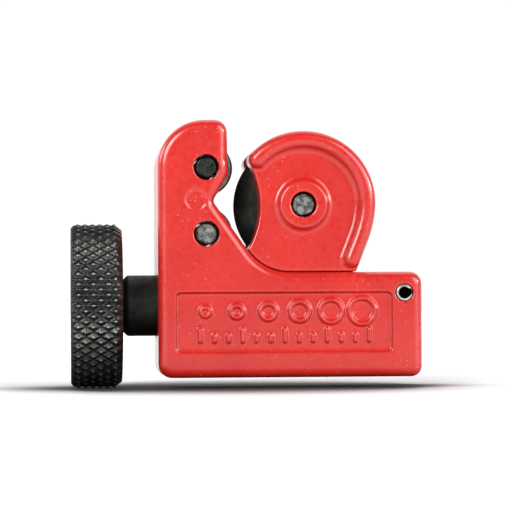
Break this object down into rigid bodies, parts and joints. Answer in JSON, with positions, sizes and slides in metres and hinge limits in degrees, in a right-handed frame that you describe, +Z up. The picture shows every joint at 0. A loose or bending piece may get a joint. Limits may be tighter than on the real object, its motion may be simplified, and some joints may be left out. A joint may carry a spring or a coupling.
{
  "type": "miniature tube cutter",
  "caption": "Compact hand tube cutter: frame with rollers, sliding carriage with cutting wheel, and a knurled knob that feeds it along a screw.",
  "frame": {"origin": "centre of the bounding box in plan, level with the lowest point of the knob", "axes": "+X along the feed screw from the knob towards the frame's open end, +Y from the front cheek to the back cheek, +Z up towards the arm"},
  "size_m": [0.0548, 0.026, 0.0419],
  "materials": {
    "frame_paint": "glossy powder coat on a zinc die casting",
    "carriage_paint": "glossy powder coat on a zinc die casting",
    "wheel_steel": "black oxide, ground edge",
    "pin_steel": "bright, with a rough end face",
    "roller_steel": "turned, satin",
    "spring_steel": "satin spring steel",
    "washer_steel": "satin",
    "knob_steel": "black oxide, worn bright on the knurl",
    "screw_steel": "matte black oxide"
  },
  "bodies": {
    "frame": {"frame": "frame_paint", "upper_roller_pin": "pin_steel", "lower_roller_pin": "pin_steel", "slide_stop_pin": "spring_steel"},
    "screw": {"feed_screw": "screw_steel", "knob": "knob_steel", "thrust_washer": "washer_steel", "wave_washer": "spring_steel", "retaining_ring": "spring_steel"},
    "carriage": {"carriage": "carriage_paint", "wheel_pin": "pin_steel", "wheel_pin_clip": "spring_steel"},
    "cutting_wheel": {"cutting_wheel": "wheel_steel"},
    "upper_roller": {"upper_roller": "roller_steel"},
    "lower_roller": {"lower_roller": "roller_steel"}
  },
  "joints": [
    {"name": "knob_turn", "type": "hinge", "parent": "frame", "child": "screw", "pos_m": [0, 0, 0.013], "axis": [-1, 0, 0], "range_deg": [0, 4233.6]},
    {"name": "carriage_slide", "type": "slide", "parent": "frame", "child": "carriage", "axis": [1, 0, 0], "range_m": [0, 0.0147]},
    {"name": "cutting_wheel_spin", "type": "hinge", "parent": "carriage", "child": "cutting_wheel", "pos_m": [0.00885, 0, 0.02863], "axis": [0, 1, 0], "continuous": true},
    {"name": "upper_roller_spin", "type": "hinge", "parent": "frame", "child": "upper_roller", "pos_m": [-0.00635, 0, 0.03445], "axis": [0, 1, 0], "continuous": true},
    {"name": "lower_roller_spin", "type": "hinge", "parent": "frame", "child": "lower_roller", "pos_m": [-0.00635, 0, 0.0241], "axis": [0, 1, 0], "continuous": true}
  ],
  "couplings": [
    {"joint": "carriage_slide", "follows": "knob_turn", "m_per_rad": 0.00019894}
  ]
}
